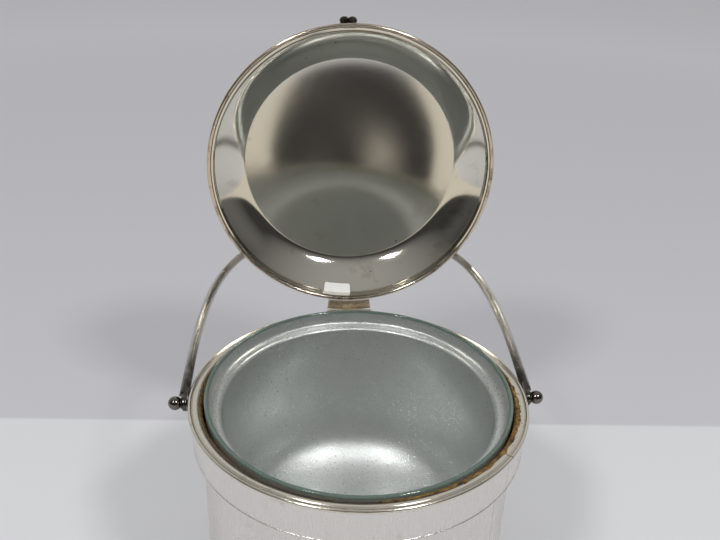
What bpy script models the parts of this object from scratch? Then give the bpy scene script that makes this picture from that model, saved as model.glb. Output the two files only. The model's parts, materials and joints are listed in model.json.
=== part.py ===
"""Ice bucket: silver-plated pail with a glass liner, a hinged domed lid and a swinging bail handle.

Frame: origin at the centre of the underside, +Z up, the lid's hinge at the back (+Y).
The lid stands open against its stop and the bail leans back behind it.
"""

import math

import bmesh
import bpy
from mathutils import Matrix, Vector

MM = 0.001
MERGE = 0.01 * MM
GAP = 0.3 * MM                    # air left between neighbouring pieces

RING_SEGMENTS = 44                # facets round the pail
SMALL_SEGMENTS = 16               # facets round screws, bosses and the hinge barrel

BOTTOM_STEPS = 7                  # steps of the liner's rounded bottom

# Body
BODY_HEIGHT = 145 * MM            # underside to the collar's top face
COLLAR_RADIUS = 90 * MM
COLLAR_BORE = 83.9 * MM
COLLAR_THICKNESS = 1.5 * MM
COLLAR_BEAD = 1.1 * MM            # radius of the turned bead round the collar's edge
WALL = 1.2 * MM
BAND_RADIUS = 88.2 * MM           # wide band under the collar
BAND_HEIGHT = 19.6 * MM
DRUM_RADIUS = 83.3 * MM           # narrower drum below the band
FOOT_RADIUS = 87 * MM
FOOT_HEIGHT = 6.8 * MM

# Glass liner
LIP_RADIUS = 81.6 * MM
LIP_STAND = 3 * MM                # lip above the collar
LIP_THICKNESS = 2.4 * MM
BOWL_RADIUS = 72.8 * MM
BOWL_DEPTH = 109 * MM
BOWL_ROUND = 38 * MM              # height of the bowl's rounded bottom
BOWL_SQUARENESS = 2.6             # superellipse exponent of that bottom
LINER_WALL = 6.2 * MM             # both glass skins and the gap between them
TIP_RADIUS = 4.5 * MM
TIP_LENGTH = 8 * MM
LINER_TILT = math.radians(2)      # it sits askew in its gasket, higher at the back

# Lid, drawn shut
HINGE_Y = 92.7 * MM
HINGE_Z = BODY_HEIGHT - 2.7 * MM
LID_OPEN = math.radians(91.5)
LID_RADIUS = 85.6 * MM
LID_WALL = 0.9 * MM
LID_BEAD = 1.2 * MM
FLANGE_RADIUS = 82 * MM           # inside of the upright flange that clears the lip
CREASE_RADIUS = 74.4 * MM
DOME_RADIUS = 58.5 * MM
FLANGE_RISE = 5.4 * MM
CREASE_RISE = 13 * MM
DOME_RISE = 20.6 * MM
CROWN_RISE = 23 * MM

# Hinge
HINGE_WIDTH = 26 * MM
BARREL_RADIUS = 2.1 * MM
PIN_RADIUS = 1 * MM
KNUCKLE = 8.4 * MM                # length of the middle knuckle
LEAF = 1.1 * MM

# Bail and its pivots
PIVOT_Z = BODY_HEIGHT - 5 * MM
BAIL_BACK = math.radians(72)
BAIL_HALF_WIDTH = 93.2 * MM
BAIL_STRAIGHT = 42 * MM           # straight length of each arm, from the pivot
BAIL_ARCH = 95.5 * MM             # height of the arch above it
BAIL_SQUARENESS = 2.3
ROD_RADIUS = 2.3 * MM
ROD_FLAT = 0.4 * MM               # half of the rod's flat side
EYE_RADIUS = 4.3 * MM
EYE_INNER = 91 * MM
EYE_OUTER = 93.2 * MM
SHANK_RADIUS = 1.5 * MM
BORE_RADIUS = 1.85 * MM
BALL_RADIUS = 3.7 * MM
BALL_X = 97.3 * MM
BOSS_RADIUS = 2.4 * MM


def clear_scene():
    for old in list(bpy.data.objects):
        bpy.data.objects.remove(old, do_unlink=True)


def finish_material(name, colour, roughness, metallic):
    material = bpy.data.materials.new(name)
    material.use_nodes = True
    shader = material.node_tree.nodes["Principled BSDF"]
    shader.inputs["Base Color"].default_value = (*colour, 1)
    shader.inputs["Roughness"].default_value = roughness
    shader.inputs["Metallic"].default_value = metallic
    return material


def plate(name, tint=(0.83, 0.81, 0.77), roughness=0.25):
    """Silver plate, brighter or duller from piece to piece."""
    return finish_material(name, tint, roughness, 1)


def add_object(name, bm, material, crease=35):
    bmesh.ops.remove_doubles(bm, verts=bm.verts, dist=MERGE)
    bmesh.ops.dissolve_degenerate(bm, edges=bm.edges, dist=MERGE)
    bmesh.ops.recalc_face_normals(bm, faces=bm.faces)
    mesh = bpy.data.meshes.new(name)
    bm.to_mesh(mesh)
    bm.free()
    mesh.shade_smooth()
    mesh.set_sharp_from_angle(angle=math.radians(crease))
    piece = bpy.data.objects.new(name, mesh)
    piece.data.materials.append(material)
    bpy.context.scene.collection.objects.link(piece)
    return piece


def add_empty(name, location, turn):
    empty = bpy.data.objects.new(name, None)
    empty.location = location
    empty.rotation_euler = (turn, 0, 0)
    bpy.context.scene.collection.objects.link(empty)
    return empty


def arc(centre, radius, start, end, steps):
    """Points of a circular arc in (radius, height), angles in degrees from the outward direction."""
    angles = [math.radians(start + (end - start) * i / steps) for i in range(steps + 1)]
    return [(centre[0] + radius * math.cos(a), centre[1] + radius * math.sin(a)) for a in angles]


def rounded_bottom(half_width, depth, top, steps):
    """Superellipse from the wall down to the axis: the liner's rounded bottom."""
    power = 2 / BOWL_SQUARENESS
    angles = [math.pi / 2 * i / steps for i in range(steps + 1)]
    points = [(half_width * math.cos(a) ** power, top - depth * math.sin(a) ** power) for a in angles[:-1]]
    return points + [(0, top - depth)]


def turned(name, outline, material, segments=RING_SEGMENTS, sweep=math.tau, start=0.0, crease=35):
    """Solid turned about Z from a (radius, height) outline that is closed, or that ends on the axis."""
    bm = bmesh.new()
    verts = [bm.verts.new((r, 0, z)) for r, z in outline]
    on_axis = outline[0][0] < MERGE and outline[-1][0] < MERGE
    following = verts[1:] if on_axis else verts[1:] + verts[:1]
    edges = [bm.edges.new(pair) for pair in zip(verts, following)]
    full = sweep >= math.tau
    if not full:
        bm.faces.new(verts)
    bmesh.ops.rotate(bm, verts=verts, cent=(0, 0, 0), matrix=Matrix.Rotation(start, 3, "Z"))
    swept = verts + edges + list(bm.faces)
    bmesh.ops.spin(bm, geom=swept, cent=(0, 0, 0), axis=(0, 0, 1), angle=sweep, steps=segments,
                   use_merge=full)
    return add_object(name, bm, material, crease)


def sector(name, outline, material, width, radius, steps, centre=math.pi / 2):
    """Solid turned through a short angle about Z, so that it is width long at the radius."""
    sweep = width / radius
    return turned(name, outline, material, steps, sweep, centre - sweep / 2)


def across(piece, side, centre_z):
    """Turn a piece made about Z so that its Z runs outwards along X on one side, at centre_z."""
    turn = Matrix.Rotation(side * math.pi / 2, 4, "Y")
    piece.data.transform(Matrix.Translation((0, 0, centre_z)) @ turn)
    return piece


def block(name, low, high, material):
    bm = bmesh.new()
    bmesh.ops.create_cube(bm, size=1)
    low, high = Vector(low), Vector(high)
    bmesh.ops.scale(bm, verts=bm.verts, vec=high - low)
    bmesh.ops.translate(bm, verts=bm.verts, vec=(low + high) / 2)
    return add_object(name, bm, material)


def rod_outline(radius, low, high):
    return [(0, high), (radius, high), (radius, low), (0, low)]


def tube_outline(outer, inner, low, high):
    return [(inner, high), (outer, high), (outer, low), (inner, low)]


def boolean(piece, tool, operation):
    tool.hide_render = True
    tool.display_type = "WIRE"
    tool.parent = piece
    modifier = piece.modifiers.new(tool.name, "BOOLEAN")
    modifier.object = tool
    modifier.operation = operation
    modifier.solver = "EXACT"


def hang(pieces, empty):
    """Parent pieces drawn in the empty's own frame."""
    for piece in pieces:
        piece.parent = empty


def make_drum():
    """Spun shell: a wide band with a cove under it, then a plain drum. Holes for the pivot screws."""
    top = BODY_HEIGHT - COLLAR_THICKNESS - GAP
    band_low = top - BAND_HEIGHT
    cove = BAND_RADIUS - DRUM_RADIUS
    cove_centre = (BAND_RADIUS, band_low - cove)
    outer = [(BAND_RADIUS, top), (BAND_RADIUS, band_low)] + arc(cove_centre, cove, 90, 180, 5)
    outer.append((DRUM_RADIUS, GAP))
    inner_cove = arc(cove_centre, cove + WALL, 180, 101.4, 5)
    inner = [(DRUM_RADIUS - WALL, GAP)] + inner_cove + [(BAND_RADIUS - WALL, top)]
    drum = turned("body_drum", outer + inner, plate("drum_plate"))
    for side in (-1, 1):
        hole = turned(f"screw_hole_{side}", rod_outline(BORE_RADIUS, 80 * MM, COLLAR_RADIUS), None, 16)
        boolean(drum, across(hole, side, PIVOT_Z), "DIFFERENCE")


def make_collar():
    """Flat ring soldered on the drum's top edge, with a turned bead round it."""
    top = BODY_HEIGHT
    under = top - COLLAR_THICKNESS
    bead_centre = (COLLAR_RADIUS - COLLAR_BEAD, top - COLLAR_BEAD)
    lip = BAND_RADIUS + GAP
    outline = [(COLLAR_BORE, under), (COLLAR_BORE, top - GAP), (COLLAR_BORE + GAP, top)]
    outline += arc(bead_centre, COLLAR_BEAD, 90, -90, 4)
    outline += [(lip, top - 2 * COLLAR_BEAD), (lip, under)]
    turned("rim_collar", outline, plate("collar_plate", (0.80, 0.77, 0.71), 0.32))


def make_base():
    """Flat closing plate with a moulded foot ring round the drum's lower edge."""
    bore = DRUM_RADIUS - WALL - GAP
    turned("base_plate", rod_outline(bore, 0, WALL), plate("base_plate_plate", roughness=0.4))
    inner = DRUM_RADIUS + GAP
    moulding = arc((FOOT_RADIUS - 1.6 * MM, 1.8 * MM), 1.8 * MM, -90, 60, 5)
    outline = [(inner, 0)] + moulding + [(inner + 1 * MM, FOOT_HEIGHT - 1 * MM), (inner, FOOT_HEIGHT)]
    turned("foot_ring", outline, plate("foot_plate"))


def askew(piece):
    """Tip a piece drawn upright with the liner, about the middle of its lip."""
    middle = Matrix.Translation((0, 0, BODY_HEIGHT))
    piece.data.transform(middle @ Matrix.Rotation(LINER_TILT, 4, "X") @ middle.inverted())
    return piece


def liner_floor(gap=0.0):
    """Outer skin of the liner's bottom, wall to axis, moved outwards by gap."""
    top = BODY_HEIGHT - BOWL_DEPTH + BOWL_ROUND
    return rounded_bottom(BOWL_RADIUS + LINER_WALL + gap, BOWL_ROUND + LINER_WALL + gap, top, BOTTOM_STEPS)


def make_liner():
    """Silvered double-skinned glass bowl: clear lip, stepped shoulder, rounded bottom, sealing tip."""
    half = LIP_THICKNESS / 2
    neck_z = BODY_HEIGHT - 9 * MM
    shoulder_z = BODY_HEIGHT - 6.5 * MM
    bowl_top = BODY_HEIGHT - BOWL_DEPTH + BOWL_ROUND
    bottom = liner_floor()
    tip_z = bottom[-1][1]
    tip = [(0, tip_z - TIP_LENGTH), (TIP_RADIUS / 2, tip_z - 0.6 * TIP_LENGTH)]
    tip.append((TIP_RADIUS, tip_z + 0.1 * MM))
    outside = bottom[-2::-1] + [(bottom[0][0], neck_z - 4 * MM), (LIP_RADIUS, neck_z)]
    lip = arc((LIP_RADIUS - half, BODY_HEIGHT + LIP_STAND - half), half, 0, 180, 4)
    shoulder = [(LIP_RADIUS - 4 * MM, shoulder_z + 1.6 * MM)]
    shoulder += arc((BOWL_RADIUS + 2.2 * MM, shoulder_z - 1.2 * MM), 2.2 * MM, 60, 180, 3)
    bowl = rounded_bottom(BOWL_RADIUS, BOWL_ROUND, bowl_top, BOTTOM_STEPS)
    glass = finish_material("silvered_glass", (0.62, 0.68, 0.66), 0.2, 0.6)
    askew(turned("glass_liner", tip + outside + lip + shoulder + bowl, glass))


def make_gasket():
    """Rubber ring that centres the liner's neck and seals it to the body."""
    inner = LIP_RADIUS + 0.9 * MM
    outer = COLLAR_BORE + GAP
    low = BODY_HEIGHT - 19.6 * MM
    foot = low + 2.6 * MM
    top = BODY_HEIGHT - COLLAR_THICKNESS - GAP
    flange = BAND_RADIUS - WALL - 0.4 * MM
    outline = [(inner, low), (inner, top), (outer, top), (outer, foot), (flange, foot), (flange, low)]
    rubber = finish_material("perished_rubber", (0.30, 0.19, 0.06), 0.8, 0)
    turned("rim_gasket", outline, rubber)


def make_cushion():
    """Cork cradle on the base plate, hollowed to the liner's bottom, open in the middle for its tip."""
    cork = finish_material("cork", (0.42, 0.27, 0.14), 0.9, 0)
    cradle = turned("liner_cushion", tube_outline(68 * MM, 12 * MM, WALL + 0.4 * MM, 42 * MM), cork)
    floor = liner_floor(0.4 * MM)
    hollow = askew(turned("liner_hollow", [(0, BODY_HEIGHT), (floor[0][0], BODY_HEIGHT)] + floor, None))
    boolean(cradle, hollow, "DIFFERENCE")


def barrel(name, low, high, material=None):
    """Hinge knuckle along X on the hinge axis."""
    knuckle = turned(name, rod_outline(BARREL_RADIUS, low, high), material, SMALL_SEGMENTS)
    knuckle.data.transform(Matrix.Rotation(math.pi / 2, 4, "Y"))
    return knuckle


def pin_bore(name):
    bore = turned(name, rod_outline(PIN_RADIUS + GAP, -HINGE_WIDTH, HINGE_WIDTH), None, SMALL_SEGMENTS)
    bore.data.transform(Matrix.Rotation(math.pi / 2, 4, "Y"))
    return bore


def make_body_hinge():
    """Leaf curved to the band, with two outer knuckles, and the pin through all three."""
    half = HINGE_WIDTH / 2
    inner = BAND_RADIUS + GAP
    leaf_low, leaf_high = HINGE_Z - 16 * MM, HINGE_Z - 2.6 * MM
    leaf = sector("hinge_leaf_body", tube_outline(inner + LEAF, inner, leaf_low, leaf_high),
                  plate("hinge_plate", (0.66, 0.62, 0.55), 0.35), HINGE_WIDTH, BAND_RADIUS, 8)
    at_hinge = Matrix.Translation((0, HINGE_Y, HINGE_Z))
    for side in (-1, 1):
        near, far = side * (KNUCKLE / 2 + 0.4 * MM), side * half
        low_x, high_x = min(near, far), max(near, far)
        knuckle = barrel(f"knuckle_{side}", low_x, high_x)
        knuckle.data.transform(at_hinge)
        web = block(f"web_{side}", (low_x, inner + 0.1 * MM, leaf_high - 2 * MM),
                    (high_x, HINGE_Y - 0.2 * MM, HINGE_Z - 0.6 * MM), None)
        boolean(leaf, web, "UNION")
        boolean(leaf, knuckle, "UNION")
    bore = pin_bore("body_bore")
    bore.data.transform(at_hinge)
    boolean(leaf, bore, "DIFFERENCE")
    pin = turned("hinge_pin", rod_outline(PIN_RADIUS, -half - 0.3 * MM, half + 0.3 * MM),
                 plate("pin_plate", roughness=0.35), 16)
    pin.data.transform(at_hinge @ Matrix.Rotation(math.pi / 2, 4, "Y"))


def lid_section():
    """Inner side of the lid, from the flange's edge to the crown, heights above the collar."""
    flange = [(FLANGE_RADIUS, 0.4 * MM), (FLANGE_RADIUS, FLANGE_RISE)]
    shoulder = []
    steps = 5
    for i in range(1, steps + 1):
        t = i / steps
        shoulder.append((CREASE_RADIUS + (DOME_RADIUS - CREASE_RADIUS) * t,
                         CREASE_RISE + (DOME_RISE - CREASE_RISE) * math.sin(t * math.pi / 2)))
    crown = []
    for i in range(1, 4):
        r = DOME_RADIUS * (1 - i / 3)
        crown.append((r, CROWN_RISE - (CROWN_RISE - DOME_RISE) * (r / DOME_RADIUS) ** 2))
    return flange + [(CREASE_RADIUS, CREASE_RISE)] + shoulder + crown


def outside_of(section, wall):
    """The same section moved out by the wall, square to it at each point."""
    moved = []
    for i, (r, z) in enumerate(section):
        before = section[max(i - 1, 0)]
        after = section[min(i + 1, len(section) - 1)]
        dr, dz = after[0] - before[0], after[1] - before[1]
        length = math.hypot(dr, dz)
        moved.append((max(r + wall * dz / length, 0), z - wall * dr / length))
    moved[0] = (section[0][0] + wall, section[0][1])
    moved[-1] = (0, section[-1][1] + wall)
    return moved


def on_lid(piece):
    """Move a piece drawn about the pail's axis, from the collar up, into the hinge's own frame."""
    piece.data.transform(Matrix.Translation((0, -HINGE_Y, BODY_HEIGHT - HINGE_Z)))
    return piece


def make_thumbpiece():
    """Small cast lift at the front of the lid: a curved tongue that ends in two lobes."""
    half = 2.4 * MM
    middle_x = -3.7 * MM
    tip_y = -LID_RADIUS - 0.8 * MM
    tip_z = 5.4 * MM
    tongue = block("thumbpiece", (middle_x - 2 * half + GAP, tip_y, tip_z - 1.1 * MM),
                   (middle_x + 2 * half - GAP, -FLANGE_RADIUS - LID_WALL - GAP, tip_z + 1.1 * MM),
                   plate("thumbpiece_plate", (0.20, 0.18, 0.16), 0.35))
    for side in (-1, 1):
        bm = bmesh.new()
        bmesh.ops.create_uvsphere(bm, u_segments=12, v_segments=8, radius=half)
        bmesh.ops.translate(bm, verts=bm.verts, vec=(middle_x + side * (half - 0.4 * MM), tip_y, tip_z))
        lobe = add_object(f"lobe_{side}", bm, None)
        boolean(tongue, on_lid(lobe), "UNION")
    return on_lid(tongue)


def make_label():
    """Blank paper sticker inside the lid, on the sloping band next to the hinge."""
    width, height, thickness = 17 * MM, 8.4 * MM, 0.3 * MM
    lower = Vector((FLANGE_RADIUS, FLANGE_RISE))
    upper = Vector((CREASE_RADIUS, CREASE_RISE))
    along = (upper - lower).normalized()
    inwards = Vector((-along.y, along.x))
    middle = (lower + upper) / 2 + along * (1 * MM)
    corners = []
    for reach, depth in ((-0.5, 0), (0.5, 0), (0.5, 1), (-0.5, 1)):
        corners.append(middle + along * (reach * height) + inwards * (2 * GAP + depth * thickness))
    paper = finish_material("paper", (0.9, 0.9, 0.88), 0.8, 0)
    middle_angle = math.pi / 2 + 6.2 * MM / middle.x
    return on_lid(sector("price_label", [tuple(c) for c in corners], paper, width, middle.x, 4, middle_angle))


def make_lid_hinge():
    """Leaf soldered to the lid's bead, with a tongue down to the middle knuckle."""
    inner = LID_RADIUS + GAP
    low, high = 0.45 * MM, 0.45 * MM + LEAF
    leaf = sector("hinge_leaf_lid", tube_outline(HINGE_Y - 0.6 * MM, inner, low, high),
                  plate("lid_hinge_plate", (0.60, 0.54, 0.45), 0.35), HINGE_WIDTH, HINGE_Y, 8)
    on_lid(leaf)
    half = KNUCKLE / 2
    tongue_top = BODY_HEIGHT - HINGE_Z + high - 0.1 * MM
    tongue = block("tongue", (-half, -2.4 * MM, 0), (half, -0.9 * MM, tongue_top), None)
    boolean(leaf, tongue, "UNION")
    boolean(leaf, barrel("middle_knuckle", -half, half), "UNION")
    boolean(leaf, pin_bore("lid_bore"), "DIFFERENCE")
    return leaf


def make_lid():
    """Spun dome with a bead wire round its edge. Everything on it is drawn shut, then turned open."""
    hinge = add_empty("lid_hinge_axis", (0, HINGE_Y, HINGE_Z), -LID_OPEN)
    inner = lid_section()
    outer = outside_of(inner, LID_WALL)
    shell = turned("lid_shell", list(reversed(inner)) + outer, plate("lid_plate", (0.78, 0.77, 0.72), 0.16))
    bead_centre = (LID_RADIUS - LID_BEAD, LID_BEAD + 0.4 * MM)
    ring = [(max(r, FLANGE_RADIUS + LID_WALL + GAP), z) for r, z in arc(bead_centre, LID_BEAD, 0, 315, 7)]
    bead = turned("lid_bead", ring, plate("lid_bead_plate", (0.76, 0.70, 0.62), 0.2))
    hang([on_lid(shell), on_lid(bead), make_thumbpiece(), make_label(), make_lid_hinge()], hinge)


def make_pivots():
    """On each side: boss on the band, ball-headed screw through the bail's eye, washer and nut."""
    dark = (0.22, 0.20, 0.18)
    for side, hand in ((-1, "left"), (1, "right")):
        boss_out, washer_in, washer_out = EYE_INNER - GAP, EYE_OUTER + GAP, EYE_OUTER + 0.9 * MM
        boss = tube_outline(BOSS_RADIUS, BORE_RADIUS, BAND_RADIUS + GAP, boss_out)
        across(turned(f"pivot_boss_{hand}", boss, plate(f"boss_plate_{hand}"), SMALL_SEGMENTS), side, PIVOT_Z)
        head = washer_out + GAP
        neck = 2.5 * MM
        shank_end = COLLAR_BORE + 0.7 * MM
        meet = math.degrees(math.acos(neck / BALL_RADIUS))
        ball = [(r, x) for r, x in arc((0, BALL_X), BALL_RADIUS, 90, -meet, 8)]
        ball[0] = (0, BALL_X + BALL_RADIUS)
        screw = ball + [(neck, head), (SHANK_RADIUS, head), (SHANK_RADIUS, shank_end), (0, shank_end)]
        across(turned(f"pivot_screw_{hand}", screw, plate(f"screw_plate_{hand}", dark), SMALL_SEGMENTS),
               side, PIVOT_Z)
        washer = tube_outline(3.2 * MM, BORE_RADIUS, washer_in, washer_out)
        across(turned(f"pivot_washer_{hand}", washer, plate(f"washer_plate_{hand}", dark), SMALL_SEGMENTS),
               side, PIVOT_Z)
        nut = tube_outline(3.2 * MM, BORE_RADIUS, shank_end + 0.3 * MM, BAND_RADIUS - WALL - 0.5 * MM)
        across(turned(f"pivot_nut_{hand}", nut, plate(f"nut_plate_{hand}", roughness=0.4), 6), side, PIVOT_Z)


def bail_path():
    """Centre line of the bail in its own plane: two straight arms and a superellipse arch."""
    power = 2 / BAIL_SQUARENESS
    start = 5.6 * MM
    right = [(BAIL_HALF_WIDTH, start + (BAIL_STRAIGHT - start) * i / 2) for i in range(3)]
    steps = 18
    for i in range(1, steps + 1):
        a = math.pi / 2 * i / steps
        x = BAIL_HALF_WIDTH * math.cos(a) ** power if i < steps else 0
        right.append((x, BAIL_STRAIGHT + BAIL_ARCH * math.sin(a) ** power))
    left = [(-x, s) for x, s in reversed(right[:-1])]
    return right + left


def make_bail():
    """Bent rod whose flattened ends turn on the pivot screws. Drawn upright, then leant back."""
    pivot = add_empty("bail_axis", (0, 0, PIVOT_Z), -BAIL_BACK)
    path = bail_path()
    curve = bpy.data.curves.new("bail_rod", "CURVE")
    curve.dimensions = "3D"
    curve.twist_mode = "Z_UP"
    curve.fill_mode = "FULL"
    curve.bevel_depth = ROD_RADIUS
    curve.bevel_resolution = 1
    curve.extrude = ROD_FLAT
    curve.use_fill_caps = True
    spline = curve.splines.new("POLY")
    spline.points.add(len(path) - 1)
    for point, (x, s) in zip(spline.points, path):
        point.co = (x, s, 0, 1)
    guide = bpy.data.objects.new("bail_guide", curve)
    bpy.context.scene.collection.objects.link(guide)
    bpy.context.view_layer.update()
    rod = bpy.data.meshes.new_from_object(guide.evaluated_get(bpy.context.evaluated_depsgraph_get()))
    bpy.data.objects.remove(guide, do_unlink=True)
    bm = bmesh.new()
    bm.from_mesh(rod)
    bmesh.ops.rotate(bm, verts=bm.verts, cent=(0, 0, 0), matrix=Matrix.Rotation(math.pi / 2, 3, "X"))
    bail = add_object("bail_handle", bm, plate("bail_plate", (0.55, 0.52, 0.47), 0.28), 50)
    for side in (-1, 1):
        eye = across(turned(f"eye_{side}", rod_outline(EYE_RADIUS, EYE_INNER, EYE_OUTER), None, 24), side, 0)
        inner, outer = sorted((side * EYE_INNER, side * EYE_OUTER))
        tang = block(f"tang_{side}", (inner, -2.9 * MM, 0.5 * MM), (outer, 2.9 * MM, 9 * MM), None)
        bore = rod_outline(BORE_RADIUS, EYE_INNER - ROD_RADIUS, EYE_OUTER + 2 * ROD_RADIUS)
        hole = across(turned(f"eye_hole_{side}", bore, None, SMALL_SEGMENTS), side, 0)
        for tool, operation in ((tang, "UNION"), (eye, "UNION"), (hole, "DIFFERENCE")):
            boolean(bail, tool, operation)
    hang([bail], pivot)


clear_scene()
make_drum()
make_collar()
make_base()
make_liner()
make_gasket()
make_cushion()
make_body_hinge()
make_lid()
make_pivots()
make_bail()
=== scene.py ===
"""Looks for a silver-plated ice bucket: spun body, glass liner, hinged domed lid and swinging bail."""

import json
import math

import bmesh
import bpy
from mathutils import Matrix, Vector, geometry, noise


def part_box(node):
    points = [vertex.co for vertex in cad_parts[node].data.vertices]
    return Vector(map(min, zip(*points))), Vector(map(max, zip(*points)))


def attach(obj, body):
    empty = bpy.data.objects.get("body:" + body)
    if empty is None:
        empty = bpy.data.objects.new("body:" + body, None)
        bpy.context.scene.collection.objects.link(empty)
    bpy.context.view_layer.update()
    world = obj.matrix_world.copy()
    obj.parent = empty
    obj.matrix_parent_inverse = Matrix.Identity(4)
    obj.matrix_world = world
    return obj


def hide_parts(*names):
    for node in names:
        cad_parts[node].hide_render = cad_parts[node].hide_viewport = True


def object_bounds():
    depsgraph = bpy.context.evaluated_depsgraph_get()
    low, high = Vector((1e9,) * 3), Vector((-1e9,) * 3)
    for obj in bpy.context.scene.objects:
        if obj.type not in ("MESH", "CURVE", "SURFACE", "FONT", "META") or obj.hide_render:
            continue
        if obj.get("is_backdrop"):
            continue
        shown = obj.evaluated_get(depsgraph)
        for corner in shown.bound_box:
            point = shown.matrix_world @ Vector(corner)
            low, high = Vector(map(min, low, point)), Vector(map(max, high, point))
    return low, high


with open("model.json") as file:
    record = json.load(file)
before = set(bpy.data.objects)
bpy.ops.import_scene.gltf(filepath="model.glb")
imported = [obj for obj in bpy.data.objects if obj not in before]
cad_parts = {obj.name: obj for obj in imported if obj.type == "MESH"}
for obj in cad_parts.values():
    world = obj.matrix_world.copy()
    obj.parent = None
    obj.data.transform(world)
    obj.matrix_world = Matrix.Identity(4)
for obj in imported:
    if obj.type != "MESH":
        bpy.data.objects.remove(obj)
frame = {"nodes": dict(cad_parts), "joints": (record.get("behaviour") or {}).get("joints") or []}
cad_low, cad_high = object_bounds()


# ---------------------------------------------------------------------------------------------
# Camera. It stands in front of the bucket and a little left, about a head above the rim, and
# looks down into the liner with a 40 mm lens. The picture leans very slightly clockwise.
MM = 0.001
CAMERA_PLACE = Vector((-31.0, -355.2, 390.7)) * MM
CAMERA_LOOK = Vector((0.0744, 0.8966, -0.4364))
CAMERA_ROLL = 0.0318

camera = bpy.data.objects.new("camera", bpy.data.cameras.new("camera"))
camera.data.lens = 40
camera.data.clip_start = 0.01
turn = CAMERA_LOOK.to_track_quat("-Z", "Y").to_matrix().to_4x4()
camera.matrix_world = Matrix.Translation(CAMERA_PLACE) @ turn @ Matrix.Rotation(CAMERA_ROLL, 4, "Z")
bpy.context.scene.collection.objects.link(camera)
bpy.context.scene.camera = camera


# ---------------------------------------------------------------------------------------------
# Studio. A white table with pale grey behind it, two soft lamps overhead in front and one wide
# overhead panel. Past the table's front edge the silver's reflections see the room's floor, half a
# metre lower, pale with one dark strip across it.
TABLE_BACK = cad_high.y + 34 * MM
TABLE_FRONT = -380 * MM
ROOM = 12.0
ROOM_FLOOR = -500 * MM
DARK_STRIP_LEFT = 30 * MM
DARK_STRIP_RIGHT = 170 * MM
GLOW_FROM = 0.18
GLOW_TO = 2.0
GLOW = 0.32
LAMP_TARGET = 100 * MM


def srgb(code):
    """Linear colour with alpha of an sRGB hex value."""
    channels = [int(code[i:i + 2], 16) / 255 for i in (0, 2, 4)]
    linear = [c / 12.92 if c <= 0.04045 else ((c + 0.055) / 1.055) ** 2.4 for c in channels]
    return (*linear, 1)


def add_node(tree, kind, values=(), links=(), **settings):
    """Add one shader node; values fill its inputs and links join them to other nodes' outputs."""
    node = tree.nodes.new("ShaderNode" + kind)
    for name, value in settings.items():
        setattr(node, name, value)
    for socket, value in dict(values).items():
        node.inputs[socket].default_value = value
    for socket, source in dict(links).items():
        tree.links.new(source, node.inputs[socket])
    return node


def new_material(name, **values):
    """Empty Principled material; values set its sockets, with spaces written as underscores."""
    material = bpy.data.materials.new(name)
    material.use_nodes = True
    shader = material.node_tree.nodes["Principled BSDF"]
    for socket, value in values.items():
        shader.inputs[socket.replace("_", " ")].default_value = value
    return material, material.node_tree, shader


def add_piece(name, bm, materials, sharp=40):
    """Turn a bmesh into a smooth-shaded object at the origin."""
    mesh = bpy.data.meshes.new(name)
    bm.to_mesh(mesh)
    bm.free()
    mesh.shade_smooth()
    mesh.set_sharp_from_angle(angle=math.radians(sharp))
    for material in materials:
        mesh.materials.append(material)
    piece = bpy.data.objects.new(name, mesh)
    bpy.context.scene.collection.objects.link(piece)
    return piece


def flat_sheet(name, low, high, height, material):
    """Level sheet between two (x, y) corners."""
    bm = bmesh.new()
    bmesh.ops.create_grid(bm, x_segments=1, y_segments=1, size=0.5)
    size = Vector((high[0] - low[0], high[1] - low[1], 1))
    bmesh.ops.scale(bm, verts=bm.verts, vec=size)
    middle = Vector(((low[0] + high[0]) / 2, (low[1] + high[1]) / 2, height))
    bmesh.ops.translate(bm, verts=bm.verts, vec=middle)
    return add_piece(name, bm, [material])


# Matt emulsion on board: even and without gloss. It glows a little away from the bucket, so that
# the far side stays as light as the table.
paint, tree, shader = new_material("matt_painted_board", Roughness=0.75)
place = add_node(tree, "TexCoord")
rearward = add_node(tree, "VectorMath", {1: (0.05, 1, 0)}, {0: place.outputs["Object"]},
                    operation="DOT_PRODUCT")
behind = add_node(tree, "MapRange", {"From Min": TABLE_BACK, "From Max": TABLE_BACK + 3 * MM},
                  {"Value": rearward.outputs["Value"]})
tone = add_node(tree, "Mix", {6: srgb("d6d7da"), 7: srgb("c3c3c8")}, {0: behind.outputs[0]},
                data_type="RGBA")
tree.links.new(tone.outputs[2], shader.inputs["Base Color"])
reach = add_node(tree, "VectorMath", links={0: place.outputs["Object"]}, operation="LENGTH")
distance = add_node(tree, "MapRange",
                    {"From Min": GLOW_FROM, "From Max": GLOW_TO, "To Min": 0, "To Max": GLOW},
                    {"Value": reach.outputs["Value"]})
tree.links.new(distance.outputs[0], shader.inputs["Emission Strength"])
tree.links.new(tone.outputs[2], shader.inputs["Emission Color"])
table = flat_sheet("table", (-ROOM, TABLE_FRONT), (ROOM, ROOM), cad_low.z, paint)
table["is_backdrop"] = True
apron = flat_sheet("table_in_front", (-ROOM, -ROOM), (ROOM, TABLE_FRONT), cad_low.z, paint)
apron.visible_glossy = False
apron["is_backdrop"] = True


def glowing_card(name, low, high, height, colour):
    """Level card that only reflections see."""
    glow, tree, shader = new_material(name, Base_Color=srgb("000000"), Roughness=1.0)
    shader.inputs["Specular IOR Level"].default_value = 0
    shader.inputs["Emission Color"].default_value = srgb(colour)
    shader.inputs["Emission Strength"].default_value = 1
    card = flat_sheet(name, low, high, height, glow)
    card.visible_camera = False
    card.visible_diffuse = False
    card.visible_transmission = False
    card.visible_shadow = False
    card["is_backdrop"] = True


card_back = TABLE_FRONT / 2
glowing_card("pale_room_floor", (-ROOM, -ROOM), (ROOM, card_back), ROOM_FLOOR, "e6dfd2")
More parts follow.
